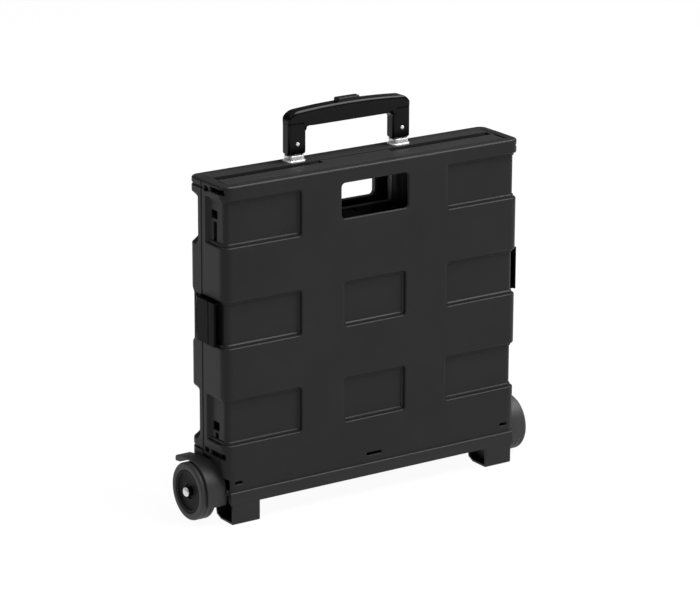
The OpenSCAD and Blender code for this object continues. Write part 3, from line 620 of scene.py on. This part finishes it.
def rear_shell():
    """Rear half of the crate, built like the front one and then turned to face the rear."""
    shape = Shape()
    sloped = soft_profile(REAR_RECESS - 0.2, 7)
    back = soft_profile(REAR_RECESS - 0.6, 6)
    bay = soft_profile(FRONT_RECESS, 1.6)
    patches = []
    for row, (z0, z1) in enumerate(REAR_ROWS):
        reach = side_s(-27 if row == 1 else -17)
        patches += both_sides(WINDOW_X, reach, z0, z1, r=7, profile=sloped, inner=back)
    for z0, z1 in REAR_ROWS[:2]:
        patches.append(Patch(-MID_WINDOW, MID_WINDOW, z0, z1, r=7, profile=sloped, inner=back))
    patches += both_sides(side_s(-24), side_s(20), 211, 265, r=3, profile=bay, inner=bay)
    patches.append(Patch(-HAND[0], HAND[0], HAND[1], HAND[2], r=5, hole=True))
    shell_skin(shape, patches, -REAR_GAP, TOP - 0.2,
               grooves=((390.2, 392.2, 2.2), (78.5, 80.5, 2.2)))
    opening_collar(shape, HAND[0] - 0.2, HAND[1] - 0.2, HAND[2] + 0.2, -HALF + 1.2, -HALF + 7, 2.6, 5)
    whole = shape.reversed_in_y()
    # flat top, tube seats and upright ribs
    whole.block((-SIDE + 12.6, REAR_GAP, TOP - 4), (SIDE - 12.6, HALF - 12.6, TOP - 0.3), 0.35)
    for sign in (-1, 1):
        x = sign * TUBE_X
        whole.block((x - 13, TUBE_Y - 9, TOP - 30), (x + 13, HALF - 1.6, TOP - 3), 1.2)
        whole.block((x - 13, TUBE_Y - 9, PAN + 0.6), (x + 13, HALF - 1.6, 74), 1.2)
        for low, high in ((PAN + 1, 87), (155, 203), (271, 320), (384, TOP - 3)):
            whole.block((sign * 115 - 1.25, HALF - 9.5, low), (sign * 115 + 1.25, HALF - 2, high), 0.3)
        # ears that carry the latch pin, brackets that carry the axle
        pin_x, pin_y = LATCH_PIN
        for z in (211.8, 258.2):
            whole.block((sign * 200.4, pin_y - 2.6, z), (sign * pin_x, pin_y + 2.6, z + 6), 0.4)
            whole.lathe(((0, 0), (2.3, 0), (2.6, 0.3), (2.6, 5.7), (2.3, 6), (0, 6)),
                        (sign * pin_x, pin_y, z), (0, 0, 1), 32, closed=False)
        for x in (150, 172, 195):
            outline = [(AXLE_Y + 7 * math.cos(a), AXLE_Z + 7 * math.sin(a))
                       for a in np.radians(range(140, 361, 20))]
            outline += [(16, 30), (31, 36.5), (31, PAN + 1), (REAR_GAP + 0.3, PAN + 1),
                        (REAR_GAP + 0.3, PAN - 0.8), (AXLE_Y - 5, PAN - 0.8)]
            whole.prism(outline, "x", sign * x - 3, sign * x + 3, 0.5)
    hinge_lugs(whole, 0.5, HALF - 9, 0.5)
    # bottom flange with the knuckles of the floor panel's rod
    whole.block((-SIDE + 3, REAR_GAP + 0.2, PAN), (SIDE - 3, HALF - 2, PAN + 3), 0.4)
    for x in (-150, -40, 40, 150):
        whole.block((x - 5, 9.8, PAN + 2), (x + 5, 24, 49), 0.4)
        whole.lathe(((1.6, 0), (3.1, 0), (3.4, 0.3), (3.4, 9.7), (3.1, 10), (1.6, 10)),
                    (x - 5, 9.7, 47.5), (1, 0, 0), 32)
    whole.piece("rear_half_shell", "rear", "shell_plastic", ["rear_shell"])


# ---------------------------------------------------------------- handle

def grip_top_z(x):
    """Height of the grip's top line: a flat arch with round outer corners."""
    corner = 13.0
    over = max(0.0, abs(x) - (GRIP_HALF - corner))
    return GRIP_TOP - x * x / 1800 - (corner - math.sqrt(max(corner ** 2 - over ** 2, 0)))


def grip_split_z(x):
    """Height of the line where the upper and lower grip halves meet."""
    return min(455.4 - 4.6 * (x / GRIP_HALF) ** 2, grip_top_z(x) - 1.0)


def grip_bottom_z(x):
    """Underside of the grip: nearly flat between the legs, with a round fillet at each of them."""
    gap = LEG_INNER - abs(x)
    if gap <= -FILLET_END:
        return GRIP_LOW + 4.2
    gap = max(gap, 0)
    lift = max(GRIP_LOW + 0.4 - 1.4 * (1 - (x / LEG_INNER) ** 2) * 0.9, GRIP_LOW)
    if gap < FILLET:
        lift -= FILLET - math.sqrt(max(FILLET ** 2 - (FILLET - gap) ** 2, 0))
    return lift


def bar_sections(z_low, z_high, depth, r_top, r_low, half, crown=0.0):
    """Loops across the grip from left to right, each a rounded outline from z_low(x) to z_high(x)."""
    places = [half * math.sin(t * math.pi / 2) for t in np.linspace(-1, 1, 57)]
    places += [sign * (LEG_INNER - e) for sign in (-1, 1)
               for e in (-3.65, -3.55, 0, 0.2, 0.8, 1.8, 3.2, 4.6, 6, FILLET)]
    loops = []
    for x in sorted(places):
        low, high = z_low(x), z_high(x)
        end = half - abs(x)
        # the bar's ends are rounded toward the outer faces of the legs
        d = depth / 2 - max(0.0, 4.0 - math.sqrt(max(0.0, 16 - max(0.0, 4 - end) ** 2)))
        # beside a leg the lower edges take the leg's rounder corners
        gap = LEG_INNER - abs(x)
        blend = min(1.0, max(0.0, 1 - gap / FILLET)) if gap > -FILLET_END else 0.0
        r_foot = r_low + (FILLET - r_low) * blend if r_low > 1 else r_low
        points = []
        corners = ((1, 1, r_top), (-1, 1, r_top), (-1, -1, r_foot), (1, -1, r_foot))
        for k, (sy, sz, r) in enumerate(corners):
            r = max(0.05, min(r, high - low - 0.3, d * 0.9))
            cz = high - r if sz > 0 else low + r
            for i in range(8):
                angle = math.pi / 2 * (k + i / 7)
                y = sy * (d - r) + r * math.cos(angle)
                z = cz + r * math.sin(angle)
                # the top is crowned: it falls toward both long edges
                if sz > 0:
                    z -= min(crown, 0.3 * (high - low)) * (abs(y) / d) ** 2
                points.append((x, TUBE_Y + y, z))
        loops.append(points)
    return loops


def grip():
    """Arched grip in two halves, its two legs with rivets, and the push button."""
    upper = Shape()
    upper.loft(bar_sections(grip_split_z, lambda x: max(grip_top_z(x), grip_split_z(x) + 0.3),
                            17, 2.6, 0.12, GRIP_HALF, crown=3.0))
    upper.piece("grip_upper_shell", "handle_top", "handle_gloss", ["grip_upper"], sharp=50)
    lower = Shape()
    lower.loft(bar_sections(grip_bottom_z, lambda x: grip_split_z(x) - 0.06, 17, 0.12, 1.4, GRIP_HALF))
    lower.piece("grip_lower_shell", "handle_top", "handle_gloss", ["grip_lower"], sharp=50)

    for sign, side in ((-1, "left"), (1, "right")):
        leg = Shape()
        joint = GRIP_LOW + 4.6
        loops = []
        for z, cut in ((LEG_Z0, 2.6), (LEG_Z0 + 0.2, 1.6), (LEG_Z0 + 0.8, 0.7), (LEG_Z0 + 1.7, 0.2),
                       (LEG_Z0 + 3, 0), (LEG_Z0 + 14, 0), (joint - 1.0, 0), (joint - 0.5, 0.1),
                       (joint - 0.2, 0.4), (joint + 2, 0.6)):
            outline = rounded_loop(LEG_W - 2 * cut, 16.4 - 2 * cut, 4.0 - 0.6 * cut, 8)
            loops.append([(sign * LEG_X + x, TUBE_Y + y, z) for x, y in outline])
        leg.loft(loops)
        leg.piece(f"grip_leg_{side}_shell", "handle_top", "handle_gloss", [f"grip_leg_{side}"], sharp=50)
        for face in (-1, 1):
            rivet = Shape()
            rivet.lathe(((0, 0), (2.5, 0), (2.5, 0.35), (2.1, 0.8), (1.2, 1.1), (0, 1.2)),
                        (sign * TUBE_X, TUBE_Y + face * 7.7, 420.5), (0, face, 0), 32, closed=False)
            rivet.piece(f"rivet_{side}_{'rear' if face > 0 else 'front'}", "handle_top", "bright_steel",
                        ["grip_rivets"])

    button = Shape()
    loops = []
    top_z = cad("push_button", 1, 2) - 1.2
    for z, cut in ((cad("push_button", 0, 2), 0), (top_z - 1.8, 0), (top_z - 0.9, 0.3), (top_z - 0.3, 0.9),
                   (top_z, 2.0), (top_z - 0.25, 3.6), (top_z - 0.3, 4.6)):
        outline = rounded_loop(31.0 - 2 * cut, 10.6 - 2 * cut, max(0.4, 2.6 - cut))
        loops.append([(x, TUBE_Y + y, z) for x, y in outline])
    button.loft(loops)
    button.piece("button_cap", "button", "handle_gloss", ["push_button"], look="dark_plastic", sharp=50)


def collars():
    """Bright bush and flange where each tube leaves the shell."""
    for sign, side in ((-1, "left"), (1, "right")):
        ring = Shape()
        loops = []
        for w, d, z in ((18.6, 13.6, 399.9), (18.6, 13.6, 406.6), (18.9, 13.9, 407.0), (19.6, 14.6, 407.1),
                        (20.4, 15.4, 406.8), (20.6, 15.6, 406.2), (20.6, 15.6, 402.6), (20.2, 15.2, 402.4),
                        (20.2, 15.2, 401.3), (22.6, 17.0, 401.1), (23.2, 17.5, 400.8), (23.4, 17.6, 400.3),
                        (23.4, 17.6, 399.1), (21.4, 16.2, 399.1), (21.4, 16.2, 399.9)):
            outline = rounded_loop(w, d, min(4, d / 2 - 3))
            loops.append([(sign * TUBE_X + x, TUBE_Y + y, z) for x, y in outline])
        ring.tube(loops)
        ring.piece(f"tube_collar_{side}_ring", "rear", "bright_steel", [f"tube_collar_{side}"], sharp=50)


# ---------------------------------------------------------------- latches

def latches():
    """Side latches: a cover plate with flanges and the knuckle round its pin."""
    z0, z1 = LATCH_Z
    pin_x, pin_y = LATCH_PIN
    for sign, side in ((-1, "left"), (1, "right")):
        shape = Shape()
        x_out, x_in = LATCH_X, 201.0
        plate = 2.4
        # cover plate with a thin groove near its free end
        outline = ((x_out - plate, LATCH_Y0), (x_out - 0.4, LATCH_Y0), (x_out, LATCH_Y0 + 0.5),
                   (x_out, -14.0), (x_out - 0.7, -13.7), (x_out - 0.7, -12.6), (x_out, -12.3),
                   (x_out, 9.5), (x_out - 0.6, 13), (x_out - 2.2, 15.4), (x_out - 4.4, 16.6),
                   (x_out - 5.4, 14), (x_out - plate, 9))
        shape.prism([(sign * x, y) for x, y in outline], "z", z0, z1, 0.3, 2, angle=40)
        # top and bottom flanges, back knuckle
        for low, high in ((z0 + 0.2, z0 + 2.6), (z1 - 2.6, z1 - 0.2)):
            shape.block((sign * x_in, LATCH_Y0 + 1.6, low), (sign * (x_out - 1), 7.2, high), 0.4)
        shape.lathe(((1.6, 0), (4.2, 0), (4.5, 0.3), (4.5, z1 - z0 - 15.7), (4.2, z1 - z0 - 15.4),
                     (1.6, z1 - z0 - 15.4)), (sign * pin_x, pin_y, z0 + 7.7), (0, 0, 1), 40)
        # inner ribs, hidden in the dark of the hollow
        for z in (228, 248):
            shape.block((sign * x_in, -6, z - 1), (sign * (x_out - 1), 7, z + 1), 0.2)
        shape.piece(f"side_latch_{side}", f"latch_{side}", "latch_plastic", [f"latch_{side}"], sharp=40)


# ---------------------------------------------------------------- wheels

def wheels():
    """Tyres, hubs and axle caps, each turned about the axle from the wheel's outer face."""
    for sign, side in ((-1, "left"), (1, "right")):
        centre = (sign * WHEEL_X, AXLE_Y, AXLE_Z)
        inward = (-sign, 0, 0)
        tyre = Shape()
        r, w = TYRE_R, TYRE_W
        rim = 25.7
        profile = [(rim, 1.0), (rim + 0.3, 0.5), (rim + 1.2, 0.15), (28.6, 0), (31.2, 0.1)]
        profile += [(r - 3 + 3 * math.sin(a), 3 - 3 * math.cos(a)) for a in np.radians((20, 40, 60, 75, 90))]
        profile += [(r, 5.6), (r - 0.7, 5.9), (r - 0.7, 6.7), (r, 7), (r, w - 7), (r - 0.7, w - 6.7),
                    (r - 0.7, w - 5.9), (r, w - 5.6)]
        profile += [(r - 3 + 3 * math.sin(a), w - 3 + 3 * math.cos(a))
                    for a in np.radians((90, 75, 60, 40, 20))]
        profile += [(31.2, w - 0.1), (28.6, w), (rim, w - 0.6)]
        tyre.lathe(profile, centre, inward, 144)
        tyre.piece(f"tyre_{side}_tread", f"wheel_{side}", "tyre_rubber", [f"tyre_{side}"], sharp=40)

        hub = Shape()
        face = [(4.1, 4.9), (8.2, 4.9), (8.6, 4.5), (8.8, 3.6), (9.4, 3.2), (11, 3.2), (12, 3.6),
                (18.2, 3.4), (19.2, 3.0), (20.6, 2.9), (21.4, 2.4), (21.9, 1.4), (22.6, 1.0),
                (24.6, 1.0), (25.3, 1.3), (25.65, 2.0)]
        back = [(25.65, 16.4), (22.6, 16.4), (22.2, 6.6), (9.6, 7.4), (9.5, 20.8), (4.1, 20.8)]
        hub.lathe(face + back, centre, inward, 96)
        # ribs between the hub's rings on its inner side
        for k in range(6):
            turn = Matrix.Rotation(k * math.pi / 3, 4, "X")
            rib = Shape().block((-9, -1.1, 9), (-6.3, 1.1, 22.6), 0.3)
            place = Matrix.Translation(Vector(centre)) @ turn
            flip = Matrix.Scale(sign, 4, (1, 0, 0))
            hub.add([(place @ flip @ Vector(v))[:] for v in rib.verts], rib.faces)
        hub.piece(f"hub_{side}_disc", f"wheel_{side}", "hub_plastic", [f"hub_{side}"], sharp=30)

        # cap: a dark sleeve on the axle and a bright domed end
        reach = CAP_X - CAP_X0
        root = (sign * CAP_X0, AXLE_Y, AXLE_Z)
        sleeve = Shape()
        sleeve.lathe(((4.05, 0), (5.6, 0), (5.9, 0.4), (5.9, reach - 3.2), (5.6, reach - 2.8),
                      (4.05, reach - 2.8)), root, (sign, 0, 0), 48)
        sleeve.piece(f"axle_cap_{side}_sleeve", "rear", "bright_steel", [f"axle_cap_{side}"],
                     look="hub_plastic", sharp=40)
        cap = Shape()
        cap.lathe(((5.5, reach - 2.8), (5.7, reach - 2.4), (5.4, reach - 1.6), (4.6, reach - 0.8),
                   (3.2, reach - 0.25), (1.6, reach - 0.05), (0, reach), (0, reach - 2.8)),
                  root, (sign, 0, 0), 48, closed=False)
        cap.piece(f"axle_cap_{side}_nut", "rear", "bright_steel", [f"axle_cap_{side}"], sharp=40)


def arc_points(radius, first, last, count):
    """Points of an arc about the axle in the side view, in degrees from the rear."""
    return [(AXLE_Y + radius * math.cos(a), AXLE_Z + radius * math.sin(a))
            for a in np.radians(np.linspace(first, last, count))]


def wheel_arches():
    """Covers over the wheels with a bead and a tail at the rear."""
    for sign, side in ((-1, "left"), (1, "right")):
        shape = Shape()
        outer, inner = ARCH_R + 2.5, ARCH_R
        # cover: from the tail behind the wheel, over the top, down to its front lower edge
        cover = arc_points(outer, 82, 198, 30) + arc_points(inner, 198, 62, 34)
        tail = [(31, 61.8), (39.4, 60.8), (40.5, 61.8), (40.5, 65.6), (39.6, 67.0), (38, 68.2),
                (24, 70.3), (14, 71.5)]
        shape.prism(cover + tail, "x", sign * 205.3, sign * 224.3, 0.8, 3, angle=50)
        # raised bead along the outer edge of the cover
        bead = arc_points(outer, 84, 197, 34) + arc_points(inner + 0.4, 197, 84, 34)
        shape.prism(bead, "x", sign * 219.0, sign * 221.6, 0.9, 3, angle=50)
        # web plate against the rear shell, inner strip in front of it
        web = arc_points(inner + 0.6, 20, 198, 40) + [(-13, 23), (30, 24.5)]
        shape.prism(web, "x", sign * 205.4, sign * 207.5, 0.5, 2, angle=50)
        strip = arc_points(outer, 100, 197, 26) + arc_points(inner, 197, 100, 26)
        shape.prism(strip, "x", sign * 199.8, sign * 206, 0.5, 2, angle=50)
        shape.piece(f"wheel_arch_{side}_cover", "rear", "shell_plastic", [f"wheel_arch_{side}"],
                    look="arch_plastic", sharp=35)


def feet():
    """Each foot is a bent strip, open at its sides, with a web inside."""
    shape = Shape()
    outline = ((-HALF - 2.4, 1.2), (-HALF - 1.2, 0), (-14, 0), (-5, 4), (-3.2, 12), (-3.2, 30),
               (-4.2, PAN - 3), (-HALF + 4, PAN - 3), (-HALF + 3.6, 24.3), (-HALF - 2.4, 24.3))
    hollow = ((-HALF + 0.4, 24.3), (-HALF + 0.4, 3.0), (-15, 3.0), (-7.6, 6.2), (-6.2, 12.6),
              (-6.2, 29), (-7, PAN - 6), (-HALF + 6.6, PAN - 6), (-HALF + 6.6, 24.3))
    strip = [*outline[:-1], *hollow[::-1], outline[-1]]
    web = [(y * 0.985, z) for y, z in outline]
    for sign in (-1, 1):
        shape.prism(strip, "x", sign * 160, sign * FOOT_X, 0.7, 2, angle=40)
        shape.prism(web, "x", sign * 170.5, sign * 173.5, 0.2, 1, angle=40)
    shape.piece("feet", "front", "shell_plastic", ["foot_pads"])


# ---------------------------------------------------------------- carried-over CAD nodes

SLOT_OF = {row["node"]: row["material_slot"] for row in frame["record"]["subparts"]}


def dress_cad_nodes():
    """Every CAD node gets its procedural material; the visible leaves and floor panel also get softened
    edges.
    """
    for name, obj in frame["nodes"].items():
        obj.data.materials.clear()
        look = "bright_steel" if "tube_" in name and name != "tube_clamps" else SLOT_OF[name]
        obj.data.materials.append(MATERIALS[look])
        for polygon in obj.data.polygons:
            polygon.material_index = 0
        if obj.hide_render:
            continue
        if name.endswith("_leaf") or name == "floor_panel":
            weld = obj.modifiers.new("join", "WELD")
            weld.merge_threshold = 0.00002
            bevel = obj.modifiers.new("soft_edges", "BEVEL")
            bevel.width = 0.0005
            bevel.segments = 2
            bevel.limit_method = "ANGLE"
            bevel.angle_limit = math.radians(50)
            bevel.harden_normals = True


# ---------------------------------------------------------------- studio

def studio():
    """Camera at the picture's angle, pale floor, soft sky and two softboxes."""
    scene = bpy.context.scene
    # camera: azimuth and elevation of the picture, a small roll, and its distance
    azimuth, elevation, roll = (math.radians(v) for v in (-34.01, 17.14, 0.22))
    back = Vector((math.sin(azimuth) * math.cos(elevation), -math.cos(azimuth) * math.cos(elevation),
                   math.sin(elevation)))
    right = (-back).cross(Vector((0, 0, 1))).normalized()
    up = right.cross(-back)
    turned_right = right * math.cos(roll) + up * math.sin(roll)
    turned_up = up * math.cos(roll) - right * math.sin(roll)
    data = bpy.data.cameras.new("camera")
    data.sensor_width = 36
    data.lens = 180.48
    data.clip_start, data.clip_end = 0.1, 200
    camera = bpy.data.objects.new("camera", data)
    scene.collection.objects.link(camera)
    placed = Matrix((turned_right, turned_up, back)).transposed().to_4x4()
    placed.translation = Vector((-2190.87, -3232.97, 1422.48)) * MM
    camera.matrix_world = placed
    scene.camera = camera
    scene.view_settings.view_transform = "Standard"

    # floor: one large pale sheet
    bm = bmesh.new()
    bmesh.ops.create_grid(bm, x_segments=8, y_segments=8, size=40)
    mesh = bpy.data.meshes.new("floor")
    bm.to_mesh(mesh)
    bm.free()
    floor = bpy.data.objects.new("floor", mesh)
    floor.location.z = -0.0003
    scene.collection.objects.link(floor)
    mat = bpy.data.materials.new("floor_look")
    mat.use_nodes = True
    shader = mat.node_tree.nodes["Principled BSDF"]
    shader.inputs["Base Color"].default_value = (0.06, 0.06, 0.06, 1)
    shader.inputs["Roughness"].default_value = 1.0
    shader.inputs["Specular IOR Level"].default_value = 0.0
    shader.inputs["Emission Color"].default_value = (1, 1, 1, 1)
    shader.inputs["Emission Strength"].default_value = 0.95
    mesh.materials.append(mat)

    # soft sky: pale at the horizon, dim above it, bright overhead
    world = bpy.data.worlds.new("studio")
    scene.world = world
    world.use_nodes = True
    tree = world.node_tree
    place = node_of(tree, "ShaderNodeTexCoord")
    split = node_of(tree, "ShaderNodeSeparateXYZ")
    ramp = node_of(tree, "ShaderNodeValToRGB")
    tree.links.new(place.outputs["Generated"], split.inputs["Vector"])
    tree.links.new(split.outputs["Z"], ramp.inputs["Fac"])
    background = tree.nodes["Background"]
    tree.links.new(ramp.outputs["Color"], background.inputs["Color"])
    stops = ((0.0, 0.5), (0.06, 0.3), (0.14, 0.06), (0.5, 0.08), (0.7, 0.3), (1.0, 0.4))
    elements = ramp.color_ramp.elements
    while len(elements) < len(stops):
        elements.new(0.5)
    for element, (position, value) in zip(elements, stops):
        element.position = position
        element.color = (value, value, value, 1)
    background.inputs["Strength"].default_value = 1.0

    def softbox(name, place, aim, width, height, power):
        light = bpy.data.lights.new(name, "AREA")
        light.shape = "RECTANGLE"
        light.size, light.size_y = width, height
        light.energy = power
        lamp = bpy.data.objects.new(name, light)
        lamp.location = place
        lamp.rotation_euler = (Vector(aim) - Vector(place)).to_track_quat("-Z", "Y").to_euler()
        scene.collection.objects.link(lamp)
        lamp.visible_camera = False

    softbox("overhead", (1.3, -0.9, 2.7), (0, 0, 0.3), 2.4, 2.2, 170)
    softbox("upper_left", (-1.3, 1.1, 2.8), (0, 0, 0.4), 0.8, 0.8, 14)


studio()
front_shell()
rear_shell()
grip()
collars()
latches()
wheels()
wheel_arches()
feet()
dress_cad_nodes()
